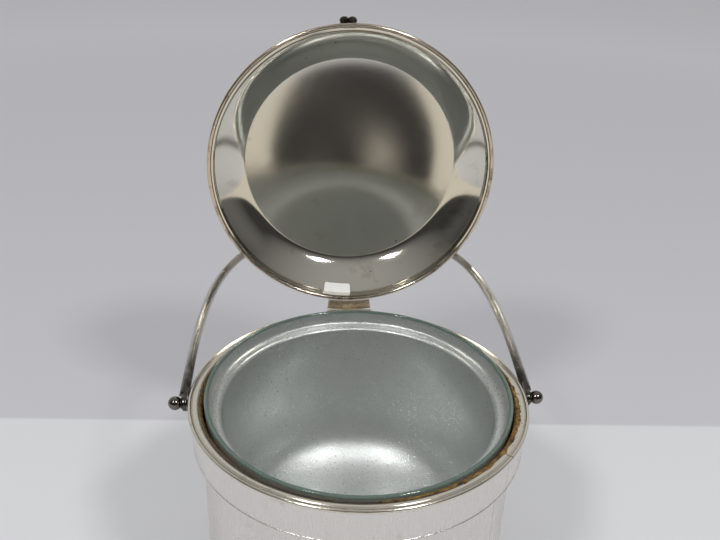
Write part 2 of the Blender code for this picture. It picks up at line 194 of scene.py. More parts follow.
glowing_card("dark_room_floor", (DARK_STRIP_LEFT, -ROOM), (DARK_STRIP_RIGHT, card_back),
             ROOM_FLOOR + 2 * MM, "1f2024")


def soft_lamp(name, location, width, depth, power):
    """White rectangular lamp that faces the middle of the bucket."""
    lamp = bpy.data.lights.new(name, "AREA")
    lamp.shape = "RECTANGLE"
    lamp.size = width
    lamp.size_y = depth
    lamp.energy = power
    holder = bpy.data.objects.new(name, lamp)
    holder.location = location
    aim = Vector((0, 0, LAMP_TARGET)) - Vector(location)
    holder.rotation_euler = aim.to_track_quat("-Z", "Y").to_euler()
    bpy.context.scene.collection.objects.link(holder)
    return holder


soft_lamp("lamp_left", (-0.62, -0.75, 1.31), 0.24, 0.17, 7.5)
soft_lamp("lamp_right", (0.56, -0.75, 1.31), 0.24, 0.17, 7.5)
panel = soft_lamp("panel_above", (0, 0.5, 1.9), 1.8, 1.4, 7)
panel.visible_glossy = False

# The room's light: dim in front of the bucket, brighter behind it and overhead.
world = bpy.data.worlds.new("studio")
world.use_nodes = True
bpy.context.scene.world = world
tree = world.node_tree
direction = add_node(tree, "TexCoord")
axes = add_node(tree, "SeparateXYZ", links={"Vector": direction.outputs["Generated"]})
backwards = add_node(tree, "MapRange",
                     {"From Min": -0.35, "From Max": 0.6, "To Min": 0.05, "To Max": 0.62},
                     {"Value": axes.outputs["Y"]})
upwards = add_node(tree, "MapRange", {"From Min": 0.25, "From Max": 0.95, "To Min": 0, "To Max": 0.42},
                   {"Value": axes.outputs["Z"]})
light = add_node(tree, "Math", links={0: backwards.outputs[0], 1: upwards.outputs[0]},
                 operation="MAXIMUM")
seen = add_node(tree, "LightPath")
strength = add_node(tree, "Mix", {3: 0.6}, {0: seen.outputs["Is Camera Ray"], 2: light.outputs[0]})
tree.links.new(strength.outputs[0], tree.nodes["Background"].inputs["Strength"])
tree.nodes["Background"].inputs["Color"].default_value = srgb("fbfaf8")
bpy.context.scene.view_settings.view_transform = "Standard"


# ---------------------------------------------------------------------------------------------
# Drum. One spun brass shell, silver plated: a wide band at the top ends in a rolled edge, and a
# cove takes it in to the plain drum. It is soldered to the collar and to the foot ring.
ROUND = 176
MERGE = 0.005 * MM
WALL = 1.2 * MM
BAND_HEIGHT = 19.6 * MM
DRUM_RADIUS = 83.3 * MM
EDGE_ROLL = 0.6 * MM
SEAM_ANGLE = math.radians(-38)


def arc(centre, radius, start, end, steps=8):
    """Points of an arc in (radius, height), angles in degrees from the outward direction."""
    angles = [math.radians(start + (end - start) * i / steps) for i in range(steps + 1)]
    return [(centre[0] + radius * math.cos(a), centre[1] + radius * math.sin(a)) for a in angles]


def turned(outline, closed=True, segments=ROUND, sweep=math.tau, start=0.0):
    """Solid turned about the pail's axis from the (radius, height) points of its section."""
    bm = bmesh.new()
    points = [bm.verts.new((r, 0, z)) for r, z in outline]
    following = points[1:] + points[:1] if closed else points[1:]
    edges = [bm.edges.new(pair) for pair in zip(points, following)]
    full = sweep >= math.tau
    ends = [] if full else [bm.faces.new(points)]
    bmesh.ops.rotate(bm, verts=points, cent=(0, 0, 0), matrix=Matrix.Rotation(start, 3, "Z"))
    bmesh.ops.spin(bm, geom=points + edges + ends, cent=(0, 0, 0), axis=(0, 0, 1), angle=sweep,
                   steps=segments, use_merge=full)
    bmesh.ops.remove_doubles(bm, verts=bm.verts, dist=MERGE)
    bmesh.ops.recalc_face_normals(bm, faces=bm.faces)
    return bm


def soften(bm, width, angle=35, segments=2):
    """Bevel every edge that is sharper than the angle."""
    edges = [e for e in bm.edges if len(e.link_faces) == 2 and e.calc_face_angle() > math.radians(angle)]
    bmesh.ops.bevel(bm, geom=edges, offset=width, segments=segments, affect="EDGES", profile=0.5,
                    material=-1, clamp_overlap=True)
    return bm


HAIRLINE = 0.5 * MM
HAIRLINE_DEPTH = 0.006 * MM
HOLLOW = 22 * MM


def silver_plate(name, colour, tarnish, roughness, cover=0.3, patch=14 * MM, wave=0.06 * MM,
                 scratch=1.0, grain=(1, 1, 0.06), dulling=0.22, streaks=1.0):
    """Silver plate on brass. Base metal is bright; tarnish is what stays in patches after polishing.
    Polishing leaves hairlines along one direction, drawn 0.5 mm wide so that they show."""
    material, tree, shader = new_material(name, Metallic=1)
    place = add_node(tree, "TexCoord")
    point = place.outputs["Object"]
    patches = add_node(tree, "TexNoise",
                       {"Scale": 1 / patch, "Detail": 7, "Roughness": 0.62, "Distortion": 0.4},
                       {"Vector": point})
    dirty = add_node(tree, "MapRange", {"From Min": 0.66 - 0.3 * cover, "From Max": 0.84 - 0.3 * cover},
                     {"Value": patches.outputs[0]})
    tone = add_node(tree, "Mix", {6: srgb(colour), 7: srgb(tarnish)}, {0: dirty.outputs[0]},
                    data_type="RGBA")
    tree.links.new(tone.outputs[2], shader.inputs["Base Color"])
    stretched = add_node(tree, "Mapping", {"Scale": grain}, {"Vector": point})
    hairlines = add_node(tree, "TexNoise", {"Scale": 1 / HAIRLINE, "Detail": 3},
                         {"Vector": stretched.outputs[0]})
    smooth, scuffed = roughness * (1 - 0.2 * streaks), roughness * (1 + 0.35 * streaks)
    rub = add_node(tree, "MapRange",
                   {"From Min": 0.35, "From Max": 0.7, "To Min": smooth, "To Max": scuffed},
                   {"Value": hairlines.outputs[0]})
    dull = add_node(tree, "Math", {1: dulling}, {0: dirty.outputs[0], 2: rub.outputs[0]},
                    operation="MULTIPLY_ADD")
    tree.links.new(dull.outputs[0], shader.inputs["Roughness"])
    hollows = add_node(tree, "TexNoise", {"Scale": 1 / HOLLOW, "Detail": 1}, {"Vector": point})
    dents = add_node(tree, "Bump", {"Strength": 1, "Distance": wave}, {"Height": hollows.outputs[0]})
    lines = add_node(tree, "Bump", {"Strength": 1, "Distance": HAIRLINE_DEPTH * scratch},
                     {"Height": hairlines.outputs[0], "Normal": dents.outputs[0]})
    tree.links.new(lines.outputs[0], shader.inputs["Normal"])
    return material


def stain(material, mask, colour):
    """Lay a colour over the material's own wherever the mask is 1."""
    tree = material.node_tree
    shader = tree.nodes["Principled BSDF"]
    base = shader.inputs["Base Color"].links[0].from_socket
    tone = add_node(tree, "Mix", {7: srgb(colour)}, {0: mask, 6: base}, data_type="RGBA")
    tree.links.new(tone.outputs[2], shader.inputs["Base Color"])


def seam_line(material, angle, width, darkness):
    """Dark hairline where a strip's two ends are soldered, on the side of the axis at the angle."""
    tree = material.node_tree
    place = add_node(tree, "TexCoord")
    across = add_node(tree, "VectorMath", {1: (-math.sin(angle), math.cos(angle), 0.004)},
                      {0: place.outputs["Object"]}, operation="DOT_PRODUCT")
    outwards = add_node(tree, "VectorMath", {1: (math.cos(angle), math.sin(angle), 0)},
                        {0: place.outputs["Object"]}, operation="DOT_PRODUCT")
    near = add_node(tree, "Math", links={0: across.outputs["Value"]}, operation="ABSOLUTE")
    line = add_node(tree, "MapRange", {"From Min": width, "From Max": 0, "To Max": darkness},
                    {"Value": near.outputs[0]})
    side = add_node(tree, "Math", {1: 0}, {0: outwards.outputs["Value"]}, operation="GREATER_THAN")
    mask = add_node(tree, "Math", links={0: line.outputs[0], 1: side.outputs[0]}, operation="MULTIPLY")
    stain(material, mask.outputs[0], "2a231c")


drum_low, drum_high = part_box("body_drum")
band_radius = drum_high.x
band_low = drum_high.z - BAND_HEIGHT
cove = band_radius - DRUM_RADIUS
roll_centre = (band_radius - EDGE_ROLL + 0.25 * MM, band_low + EDGE_ROLL)
cove_centre = (band_radius - 0.3 * MM, band_low - cove)
section = [(band_radius, drum_high.z), (band_radius, band_low + 3 * EDGE_ROLL)]
section += arc(roll_centre, EDGE_ROLL, 60, -90)
section += arc(cove_centre, cove - 0.3 * MM, 100, 180)
section += [(DRUM_RADIUS, drum_low.z + 30 * MM), (DRUM_RADIUS, drum_low.z)]
section += [(DRUM_RADIUS - WALL, drum_low.z)]
section += [(DRUM_RADIUS - WALL, band_low - cove), (band_radius - WALL - 0.4 * MM, band_low + 0.5 * MM)]
section += [(band_radius - WALL, drum_high.z)]
# Rubbed satin by years of cloths: it glows softly and blurs what it reflects.
body_plate = silver_plate("satin_silver_plate", "e2deda", "c9beb2", 0.3, cover=0.16, patch=20 * MM,
                          wave=0.06 * MM, scratch=0.5)
seam_line(body_plate, SEAM_ANGLE, 0.28 * MM, 0.8)
drum = add_piece("spun_drum", turned(section), [body_plate])
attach(drum, "body")
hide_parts("body_drum")


# ---------------------------------------------------------------------------------------------
# Foot ring and base plate. The ring is a drawn moulding soldered round the drum's lower edge; the
# plate closes the bottom. Both are plated with the drum and scuffed where they stand.
foot_low, foot_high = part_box("foot_ring")
foot_radius = foot_high.x
foot_inner = DRUM_RADIUS + 0.3 * MM
section = [(foot_inner, foot_low.z)] + arc((foot_radius - 1.8 * MM, 1.8 * MM), 1.8 * MM, -90, 50)
section += arc((foot_radius - 0.2 * MM, 4.6 * MM), 1.1 * MM, 230, 150, 5)
section += arc((foot_inner + 0.9 * MM, foot_high.z - 0.9 * MM), 0.9 * MM, 0, 90, 5)
section += [(foot_inner, foot_high.z)]
# Scuffed plate: duller, with grey-brown patches where cloths don't reach.
foot_plate = silver_plate("scuffed_silver_plate", "d9d4cc", "8d7d6a", 0.3, cover=0.3, patch=9 * MM)
foot = add_piece("moulded_foot", turned(section), [foot_plate])
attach(foot, "body")
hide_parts("foot_ring")

base_low, base_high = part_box("base_plate")
base_radius = base_high.x
section = [(0, base_low.z), (base_radius, base_low.z), (base_radius, base_high.z), (0, base_high.z)]
bottom = add_piece("bottom_plate", soften(turned(section, closed=False), 0.2 * MM), [foot_plate])
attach(bottom, "body")
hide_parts("base_plate")


# ---------------------------------------------------------------------------------------------
# Collar. A flat ring with a turned bead round its edge and a groove inside the bead, bent from a
# strip whose ends meet in a soldered seam. Perished rubber has left a ragged brown stain at its bore.
collar_low, collar_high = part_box("rim_collar")
COLLAR_BORE = 83.9 * MM
BEAD = 1.1 * MM
STAIN_REACH = 2.6 * MM
collar_radius = collar_high.x
collar_top = collar_high.z


def bore_stain(material, bore, reach):
    """Ragged brown residue that spreads outwards over a ring's face from its bore."""
    tree = material.node_tree
    place = add_node(tree, "TexCoord")
    flat = add_node(tree, "VectorMath", {1: (1, 1, 0)}, {0: place.outputs["Object"]},
                    operation="MULTIPLY")
    radius = add_node(tree, "VectorMath", links={0: flat.outputs[0]}, operation="LENGTH")
    ragged = add_node(tree, "TexNoise", {"Scale": 1 / (5 * MM), "Detail": 6, "Roughness": 0.7},
                      {"Vector": place.outputs["Object"]})
    edge = add_node(tree, "Math", {1: reach, 2: bore - 0.35 * reach}, {0: ragged.outputs[0]},
                    operation="MULTIPLY_ADD")
    inside = add_node(tree, "Math", links={0: edge.outputs[0], 1: radius.outputs["Value"]},
                      operation="SUBTRACT")
    mask = add_node(tree, "MapRange", {"From Min": 0, "From Max": 0.5 * MM, "To Max": 0.9},
                    {"Value": inside.outputs[0]})
    stain(material, mask.outputs[0], "33261a")
    shader = tree.nodes["Principled BSDF"]
    rough = shader.inputs["Roughness"].links[0].from_socket
    crust = add_node(tree, "Mix", {3: 0.7}, {0: mask.outputs[0], 2: rough})
    tree.links.new(crust.outputs[0], shader.inputs["Roughness"])


groove = collar_radius - 2 * BEAD - 0.25 * MM
section = [(COLLAR_BORE, collar_low.z + 0.7 * MM), (COLLAR_BORE, collar_top - 0.25 * MM)]
section += [(COLLAR_BORE + 0.3 * MM, collar_top - 0.05 * MM), (groove - 0.5 * MM, collar_top - 0.1 * MM)]
section += arc((groove, collar_top - 0.05 * MM), 0.35 * MM, 200, 320, 6)
section += arc((collar_radius - BEAD, collar_top - BEAD), BEAD, 140, -90, 12)
section += [(band_radius + 0.3 * MM, collar_low.z), (band_radius + 0.3 * MM, collar_low.z + 0.7 * MM)]
# Yellowed plate: bright on top, with brown-black specks a few millimetres across.
collar_plate = silver_plate("yellowed_silver_plate", "dcd6ca", "4d4032", 0.17, cover=0.2, patch=3.5 * MM,
                            wave=0.02 * MM, scratch=0.4)
seam_line(collar_plate, SEAM_ANGLE, 0.4 * MM, 0.9)
bore_stain(collar_plate, COLLAR_BORE, STAIN_REACH)
collar = add_piece("beaded_collar", turned(section), [collar_plate], sharp=50)
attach(collar, "body")
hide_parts("rim_collar")


# ---------------------------------------------------------------------------------------------
# Cork cushion. A ring of pressed cork glued on the base plate, hollowed to carry the liner's round
# bottom. Pressing shows as angular granules of light and dark bark 2 mm across.
cork, tree, shader = new_material("pressed_cork", Roughness=0.9, Specular_IOR_Level=0.25)
place = add_node(tree, "TexCoord")
granules = add_node(tree, "TexVoronoi", {"Scale": 1 / (2.2 * MM)}, {"Vector": place.outputs["Object"]})
bark = add_node(tree, "RGBToBW", links={"Color": granules.outputs["Color"]})
tone = add_node(tree, "Mix", {6: srgb("8a5f38"), 7: srgb("c9a071")}, {0: bark.outputs[0]},
                data_type="RGBA")
tree.links.new(tone.outputs[2], shader.inputs["Base Color"])
pits = add_node(tree, "Bump", {"Strength": 0.6, "Distance": 0.3 * MM},
                {"Height": granules.outputs["Distance"]})
tree.links.new(pits.outputs[0], shader.inputs["Normal"])
cushion = frame["nodes"]["liner_cushion"]
cushion.data.materials.clear()
cushion.data.materials.append(cork)


# ---------------------------------------------------------------------------------------------
# Liner. A blown glass bowl with two skins, silvered between them, so the bowl looks like grained
# silver under green glass. Only the lip is clear. It sits askew in its gasket, higher at the back.
LINER_TILT = math.radians(2)
LIP_RADIUS = 81.6 * MM
LIP_STAND = 3 * MM
LIP_THICKNESS = 2.4 * MM
BOWL_RADIUS = 72.8 * MM
BOWL_DEPTH = 109 * MM
BOWL_ROUND = 38 * MM
BOWL_SQUARENESS = 2.6
LINER_WALL = 6.2 * MM
TIP = 8 * MM
NECK_DROP = 9 * MM
SHOULDER_DROP = 6.5 * MM
SILVERED_INSIDE = 0.4 * MM
SILVERED_OUTSIDE = -0.5 * MM


def rounded_bottom(radius, depth, top, steps):
    """Superellipse from the bowl's wall down to the axis."""
    power = 2 / BOWL_SQUARENESS
    angles = [math.pi / 2 * (i / steps) ** 1.15 for i in range(steps)]
    curve = [(radius * math.cos(a) ** power, top - depth * math.sin(a) ** power) for a in angles]
    return curve + [(0, top - depth)]


# Silvering seen through grained glass: a soft, sparkling grey under a clear gloss.
silvered, tree, shader = new_material("silvered_glass", Metallic=0.72, Coat_Weight=1.0,
                                      Coat_Roughness=0.05, Coat_IOR=1.5)
place = add_node(tree, "TexCoord")
mottle = add_node(tree, "TexNoise", {"Scale": 1 / (16 * MM), "Detail": 5, "Roughness": 0.6},
                  {"Vector": place.outputs["Object"]})
tone = add_node(tree, "Mix", {6: srgb("bfc3c1"), 7: srgb("d0d3d1")}, {0: mottle.outputs[0]},
                data_type="RGBA")
tree.links.new(tone.outputs[2], shader.inputs["Base Color"])
grains = add_node(tree, "TexNoise", {"Scale": 1 / (1.2 * MM), "Detail": 3, "Roughness": 0.7},
                  {"Vector": place.outputs["Object"]})
etched = add_node(tree, "Bump", {"Strength": 1, "Distance": 0.25 * MM}, {"Height": grains.outputs[0]})
tree.links.new(etched.outputs[0], shader.inputs["Normal"])
frosting = add_node(tree, "MapRange", {"From Min": 0.3, "From Max": 0.7, "To Min": 0.24, "To Max": 0.4},
                    {"Value": grains.outputs[0]})
tree.links.new(frosting.outputs[0], shader.inputs["Roughness"])

# Green-tinted glass without silvering: half clear, with the faint waves of blown glass.
clear, tree, shader = new_material("green_tinted_glass", Transmission_Weight=0.65, IOR=1.5,
                                   Roughness=0.03)
place = add_node(tree, "TexCoord")
cords = add_node(tree, "TexNoise", {"Scale": 1 / (9 * MM), "Detail": 2},
                 {"Vector": place.outputs["Object"]})
tone = add_node(tree, "Mix", {6: srgb("86a093"), 7: srgb("a2b9ad")}, {0: cords.outputs[0]},
                data_type="RGBA")
tree.links.new(tone.outputs[2], shader.inputs["Base Color"])
ripple = add_node(tree, "Bump", {"Strength": 1, "Distance": 0.04 * MM}, {"Height": cords.outputs[0]})
tree.links.new(ripple.outputs[0], shader.inputs["Normal"])

half = LIP_THICKNESS / 2
neck = collar_top - NECK_DROP
shoulder = collar_top - SHOULDER_DROP
bowl_top = collar_top - BOWL_DEPTH + BOWL_ROUND
bottom_curve = rounded_bottom(BOWL_RADIUS + LINER_WALL, BOWL_ROUND + LINER_WALL, bowl_top, 40)
tip_top = bottom_curve[-1][1]
outside = [(0, tip_top - TIP), (1.6 * MM, tip_top - 0.8 * TIP), (2.8 * MM, tip_top - 0.4 * TIP)]
outside += [(4.5 * MM, tip_top + 0.1 * MM)] + bottom_curve[-2::-1]
outside += [(bottom_curve[0][0], neck - 4 * MM), (LIP_RADIUS - 0.8 * MM, neck - 1 * MM)]
outside += [(LIP_RADIUS, neck + MM)]
lip = arc((LIP_RADIUS - half, collar_top + LIP_STAND - half), half, 0, 180, 12)
lip_inner = LIP_RADIUS - LIP_THICKNESS
ridge = [(lip_inner - 0.2 * MM, shoulder + 3.2 * MM)]
ridge += arc((lip_inner - 2.2 * MM, shoulder + 3.2 * MM), 2 * MM, -10, -80, 5)
ridge += arc((BOWL_RADIUS + 2.2 * MM, shoulder - 1.2 * MM), 2.2 * MM, 75, 180, 8)
bowl = rounded_bottom(BOWL_RADIUS, BOWL_ROUND, bowl_top, 48)
bm = turned(outside + lip + ridge + bowl, closed=False)
for face in bm.faces:
    middle = face.calc_center_median()
    silvered_to = SILVERED_INSIDE if Vector(middle.xy).length < lip_inner else SILVERED_OUTSIDE
    face.material_index = 0 if middle.z < collar_top + silvered_to else 1
at_lip = Matrix.Translation((0, 0, collar_top))
askew = at_lip @ Matrix.Rotation(LINER_TILT, 4, "X") @ at_lip.inverted()
bmesh.ops.transform(bm, verts=bm.verts, matrix=askew)
liner = add_piece("blown_liner", bm, [silvered, clear], sharp=60)
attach(liner, "body")
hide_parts("glass_liner")


# ---------------------------------------------------------------------------------------------
# Gasket. A moulded rubber ring that held the liner's neck. The rubber has perished: it is ochre,
# hard and crumbling, it has swollen over the collar's bore at the right, and crumbs lie along it.
gasket_low, gasket_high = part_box("rim_gasket")
GASKET_INNER = 82.5 * MM
SWOLLEN_FROM = math.radians(-88)
SWOLLEN_SWEEP = math.radians(108)
SWOLLEN_REACH = 3.2 * MM


def roughen(bm, amount, size):
    """Push each point along its normal by lumps of the given size."""
    bm.normal_update()
    for v in bm.verts:
        v.co += v.normal * (amount * noise.noise(v.co / size))


# Perished rubber: dry and matt, dark where it is whole and ochre where it has crumbled.
rubber, tree, shader = new_material("perished_rubber", Roughness=0.85, Specular_IOR_Level=0.3)
place = add_node(tree, "TexCoord")
decay = add_node(tree, "TexNoise", {"Scale": 1 / (3 * MM), "Detail": 6, "Roughness": 0.7},
                 {"Vector": place.outputs["Object"]})
rot = add_node(tree, "MapRange", {"From Min": 0.4, "From Max": 0.62}, {"Value": decay.outputs[0]})
tone = add_node(tree, "Mix", {6: srgb("3a2c19"), 7: srgb("8d6f3a")}, {0: rot.outputs[0]},
                data_type="RGBA")
tree.links.new(tone.outputs[2], shader.inputs["Base Color"])
crumble = add_node(tree, "Bump", {"Strength": 1, "Distance": 0.35 * MM}, {"Height": decay.outputs[0]})
tree.links.new(crumble.outputs[0], shader.inputs["Normal"])

foot_of_gasket = gasket_low.z + 2.6 * MM
seat = COLLAR_BORE - 0.1 * MM
section = [(GASKET_INNER, gasket_low.z), (GASKET_INNER, gasket_high.z), (seat, collar_top - 0.6 * MM)]
section += [(seat, foot_of_gasket), (gasket_high.x, foot_of_gasket), (gasket_high.x, gasket_low.z)]
bm = turned(section, segments=360)
bmesh.ops.subdivide_edges(bm, edges=[e for e in bm.edges if e.calc_length() > 6 * MM], cuts=4)
roughen(bm, 0.45 * MM, 3 * MM)
gasket = add_piece("rubber_gasket", bm, [rubber], sharp=60)
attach(gasket, "body")
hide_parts("rim_gasket")

section = [(seat - 0.9 * MM, collar_top - 1.2 * MM), (seat - 0.7 * MM, collar_top - 0.1 * MM)]
section += [(seat + 0.4 * MM, collar_top + 0.2 * MM), (seat + 1.5 * MM, collar_top + 0.1 * MM)]
section += [(seat + 1.6 * MM, collar_top - 0.2 * MM), (seat + 0.1 * MM, collar_top - 0.3 * MM)]
bm = turned(section, segments=220, sweep=SWOLLEN_SWEEP, start=SWOLLEN_FROM)
for v in bm.verts:
    t = (math.atan2(v.co.y, v.co.x) - SWOLLEN_FROM) / SWOLLEN_SWEEP
    swell = max(math.sin(math.pi * min(max(t, 0), 1)), 0) ** 0.5
    ragged = 1.1 * MM * noise.noise(v.co / (4 * MM)) + 0.5 * MM * noise.noise(v.co / (1.4 * MM))
    radius = Vector(v.co.xy).length
    reach = (radius - seat) * swell + ragged * (radius > seat)
    v.co.xy = v.co.xy.normalized() * (seat + min(reach, SWOLLEN_REACH))
roughen(bm, 0.12 * MM, 1.2 * MM)
swollen = add_piece("swollen_rubber", bm, [rubber], sharp=60)
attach(swollen, "body")


# ---------------------------------------------------------------------------------------------
# Hinge on the body. A brass leaf bent to the band, cut into two knuckles at the top and plated;
# most of the plating has worn off. The steel pin through the knuckles is peened at both ends.
hinge = next(j for j in frame["joints"] if j["name"] == "lid_hinge")
hinge_point = Vector(hinge["pos_m"])
HINGE_WIDTH = 28 * MM
BARREL = 2.1 * MM
KNUCKLE = 8.4 * MM
KNUCKLE_GAP = 0.4 * MM
LEAF = 1.1 * MM


def knuckle(bm, low, high, radius, centre, segments=40):
    """Turned length of hinge barrel along X, added to a bmesh."""
    made = bmesh.ops.create_cone(bm, cap_ends=True, segments=segments, radius1=radius, radius2=radius,
                                 depth=high - low)
    middle = Matrix.Translation(centre + Vector(((low + high) / 2, 0, 0)))
    bmesh.ops.transform(bm, verts=made["verts"], matrix=middle @ Matrix.Rotation(math.pi / 2, 4, "Y"))


def block(bm, low, high):
    """Add a block between two corners to a bmesh."""
    verts = bmesh.ops.create_cube(bm, size=1)["verts"]
    bmesh.ops.scale(bm, verts=verts, vec=high - low)
    bmesh.ops.translate(bm, verts=verts, vec=(low + high) / 2)
    return verts


# Plate worn through to brass: mottled cream and brown, half dull.
worn_brass = silver_plate("worn_plate_over_brass", "cdc2ae", "8a785c", 0.34, cover=0.4, patch=3 * MM,
                          wave=0.03 * MM)
leaf_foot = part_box("hinge_leaf_body")[0].z
leaf_sweep = HINGE_WIDTH / band_radius
leaf_inner = band_radius + 0.3 * MM
leaf_head = hinge_point.z - 2 * MM
section = [(leaf_inner, leaf_foot), (leaf_inner, leaf_head)]
section += [(leaf_inner + LEAF, leaf_head), (leaf_inner + LEAF, leaf_foot)]
bm = turned(section, segments=16, sweep=leaf_sweep, start=math.pi / 2 - leaf_sweep / 2)
soften(bm, 0.25 * MM)
inner_end = KNUCKLE / 2 + KNUCKLE_GAP
outer_end = HINGE_WIDTH / 2
for low, high in ((-outer_end, -inner_end), (inner_end, outer_end)):
    knuckle(bm, low, high, BARREL, hinge_point)
    block(bm, Vector((low, leaf_inner, hinge_point.z - 4 * MM)),
          Vector((high, hinge_point.y - 0.2 * MM, hinge_point.z - 0.5 * MM)))
leaf = add_piece("body_leaf", bm, [worn_brass])
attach(leaf, "body")
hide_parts("hinge_leaf_body")

pin_low, pin_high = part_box("hinge_pin")
bm = bmesh.new()
knuckle(bm, pin_low.x, pin_high.x, (pin_high.z - pin_low.z) / 2, hinge_point, 24)
soften(bm, 0.3 * MM, segments=3)
pin = add_piece("peened_pin", bm, [worn_brass])
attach(pin, "body")
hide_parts("hinge_pin")


# ---------------------------------------------------------------------------------------------
# Lid shell. One spun dome, plated and polished inside and out: a short upright flange, a sloping
# band, a shoulder and a nearly flat crown that leans a little. It is drawn shut, about the pail's
# axis, and turned open about the hinge.
LID_OPEN = math.radians(hinge["range_deg"][1])
LID_RADIUS = 85.6 * MM
LID_WALL = 0.9 * MM
FLANGE_RADIUS = 82 * MM
FLANGE_RISE = 5.4 * MM
CROWN_RADIUS = 64.5 * MM
CROWN_EDGE_RISE = 18.6 * MM
CROWN_DOME = 3.1 * MM
CROWN_LEAN = math.tan(math.radians(3.8))
BAND_SLOPE = 1.0
BAND_HANDLE = 6 * MM
CROWN_EDGE_SLOPE = 0.36
CROWN_EDGE_HANDLE = 5 * MM
CROWN_STEPS = 32

at_hinge = Matrix.Translation(hinge_point)
lid_turn = at_hinge @ Matrix.Rotation(-LID_OPEN, 4, "X") @ at_hinge.inverted()
LID_BASE = collar_top


def on_lid(bm):
    """Turn a piece that was drawn on the shut lid to where the open lid holds it."""
    bmesh.ops.transform(bm, verts=bm.verts, matrix=lid_turn)
    return bm


def lid_inside():
    """Inner side of the lid as (radius, height above the collar), edge to crown."""
    section = [(FLANGE_RADIUS, 0.4 * MM), (FLANGE_RADIUS, FLANGE_RISE - 0.5 * MM)]
    lower = Vector((FLANGE_RADIUS, FLANGE_RISE))
    upper = Vector((CROWN_RADIUS, CROWN_EDGE_RISE))
    lower_handle = lower + Vector((-1, BAND_SLOPE)) * BAND_HANDLE
    upper_handle = upper + Vector((1, -CROWN_EDGE_SLOPE)) * CROWN_EDGE_HANDLE
    shoulder = geometry.interpolate_bezier(lower, lower_handle, upper_handle, upper, 30)
    section += [tuple(point) for point in shoulder]
    shares = [0.994] + [1 - i / CROWN_STEPS for i in range(1, CROWN_STEPS + 1)]
    section += [(CROWN_RADIUS * t, CROWN_EDGE_RISE + CROWN_DOME * (1 - t ** 3)) for t in shares]
    return section


def offset(section, wall):
    """The section moved outwards by the wall, square to it at each point."""
    moved = []
    for i, (r, z) in enumerate(section):
        before = section[max(i - 1, 0)]
        after = section[min(i + 1, len(section) - 1)]
        dr, dz = after[0] - before[0], after[1] - before[1]
        length = math.hypot(dr, dz)
        moved.append((max(r + wall * dz / length, 0), z - wall * dr / length))
    moved[0] = (section[0][0] + wall, section[0][1])
    moved[-1] = (0, section[-1][1] + wall)
    return moved


def black_pits(material, spacing, radius):
    """Scattered round specks where damp has eaten through the plate, at most one in each cell."""
    tree = material.node_tree
    place = add_node(tree, "TexCoord")
    cells = add_node(tree, "TexVoronoi", {"Scale": 1 / spacing}, {"Vector": place.outputs["Object"]})
    chance = add_node(tree, "RGBToBW", links={"Color": cells.outputs["Color"]})
    size = add_node(tree, "MapRange",
                    {"From Min": 0.45, "From Max": 0.8, "To Min": 0, "To Max": radius / spacing},
                    {"Value": chance.outputs[0]})
    inside = add_node(tree, "Math", links={0: cells.outputs["Distance"], 1: size.outputs[0]},
                      operation="LESS_THAN")
    stain(material, inside.outputs[0], "1b1814")


inner = [(r, z + LID_BASE) for r, z in lid_inside()]
outer = offset(inner, LID_WALL)
bm = turned(inner[::-1] + outer, closed=False)
for v in bm.verts:
    radius = Vector(v.co.xy).length
    t = min(max((FLANGE_RADIUS - radius) / (FLANGE_RADIUS - CROWN_RADIUS), 0), 1)
    v.co.z += CROWN_LEAN * v.co.y * t * t * (3 - 2 * t)
# Bright polish: it mirrors the bowl and the room, with a few black specks.
lid_plate = silver_plate("polished_silver_plate", "d8d4ca", "b5ad9a", 0.085, cover=0.2, patch=24 * MM,
                         wave=0.01 * MM, scratch=0.05, grain=(0.08, 1, 1), dulling=0.015, streaks=0.25)
black_pits(lid_plate, spacing=8 * MM, radius=0.5 * MM)
lid = add_piece("domed_lid", on_lid(bm), [lid_plate], sharp=60)
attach(lid, "lid")
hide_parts("lid_shell")


# ---------------------------------------------------------------------------------------------
# Bead wire round the lid's edge: half-round plated wire soldered outside the flange, polished more
# often than the rest, with brown tarnish in scattered patches.
LID_BEAD = 1.25 * MM
bead_centre = (LID_RADIUS - LID_BEAD, LID_BASE + LID_BEAD + 0.4 * MM)
section = arc(bead_centre, LID_BEAD, 0, 345, 24)
# Pinkish plate, handled bright, with brown tarnish in scattered patches.
bead_plate = silver_plate("bead_silver_plate", "cfc3b4", "6b4f3c", 0.16, cover=0.45, patch=10 * MM,
                          wave=0.03 * MM)
bead = add_piece("bead_wire", on_lid(turned(section)), [bead_plate])
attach(bead, "lid")
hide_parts("lid_bead")


# ---------------------------------------------------------------------------------------------
# Hinge on the lid. A leaf soldered to the bead wire, with a tongue rolled into the middle knuckle.
lid_leaf_inner = LID_RADIUS + 0.3 * MM
leaf_base = LID_BASE + 0.45 * MM
lid_leaf_outer = hinge_point.y - 0.6 * MM
lid_sweep = HINGE_WIDTH / hinge_point.y
section = [(lid_leaf_inner, leaf_base), (lid_leaf_inner, leaf_base + LEAF)]
section += [(lid_leaf_outer, leaf_base + LEAF), (lid_leaf_outer, leaf_base)]
bm = turned(section, segments=16, sweep=lid_sweep, start=math.pi / 2 - lid_sweep / 2)
soften(bm, 0.25 * MM)
knuckle(bm, -KNUCKLE / 2, KNUCKLE / 2, BARREL, hinge_point)
block(bm, Vector((-KNUCKLE / 2, hinge_point.y - 2.4 * MM, hinge_point.z)),
      Vector((KNUCKLE / 2, hinge_point.y - 0.9 * MM, leaf_base + LEAF - 0.1 * MM)))
lid_leaf = add_piece("lid_leaf", on_lid(bm), [worn_brass])
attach(lid_leaf, "lid")
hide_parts("hinge_leaf_lid")


